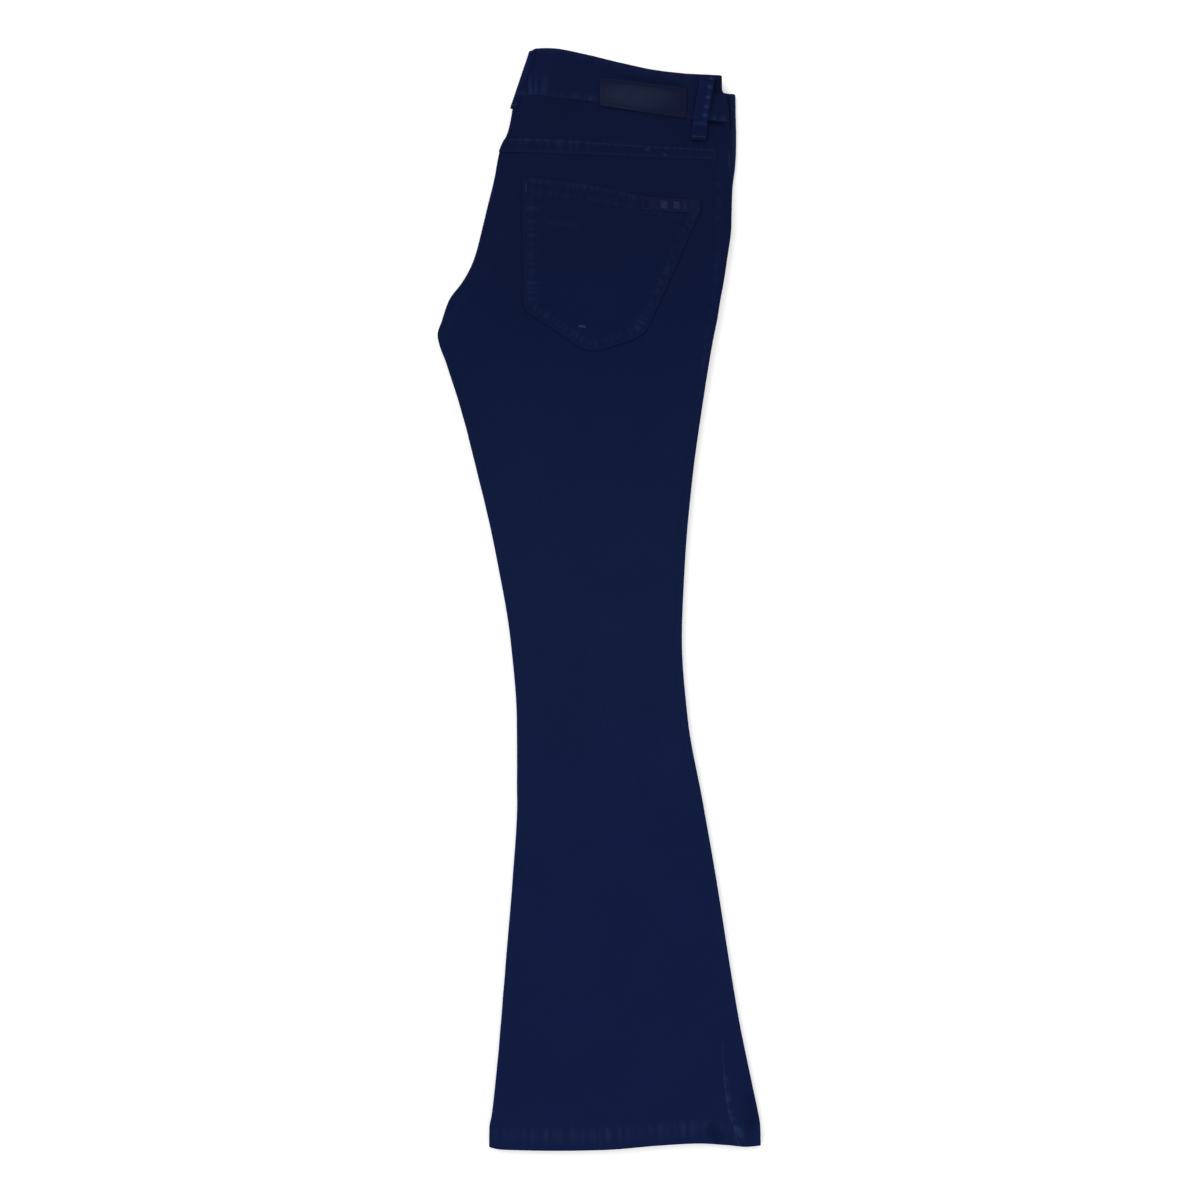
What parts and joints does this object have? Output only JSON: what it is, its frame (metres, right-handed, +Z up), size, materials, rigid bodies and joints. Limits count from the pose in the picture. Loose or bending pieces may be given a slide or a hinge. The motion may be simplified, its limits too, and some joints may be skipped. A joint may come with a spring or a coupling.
{
  "type": "flared jeans, folded in half",
  "caption": "Dark denim flared jeans folded lengthwise and lying flat, back outside, with yokes, pockets, belt loops and a plain leather patch.",
  "frame": {"origin": "middle of the folded garment's box, on the surface it lies on", "axes": "+X across the leg towards the outseam, +Y along the leg towards the waistband, +Z up through the pile of cloth"},
  "size_m": [0.3238, 1.1015, 0.0165],
  "materials": {
    "denim": "very dark navy stretch twill with tone-on-tone stitching, soft and matt",
    "denim_trim": "the same denim folded into belt loops, slightly worn on its ridges",
    "leather": "dark grey-blue leather, satin, bare",
    "woven_tab": "dark woven tape with pale bar tacks, bare"
  },
  "bodies": {
    "root": {"right_back_panel": "denim", "left_back_panel": "denim", "right_front_panel": "denim", "left_front_panel": "denim", "right_back_yoke": "denim", "left_back_yoke": "denim", "waistband": "denim", "right_back_pocket": "denim", "left_back_pocket": "denim", "folded_front_layers": "denim", "belt_loop_centre_back": "denim_trim", "belt_loop_right_back": "denim_trim", "belt_loop_left_back": "denim_trim", "waistband_patch": "leather", "pocket_tab": "woven_tab"}
  },
  "joints": []
}
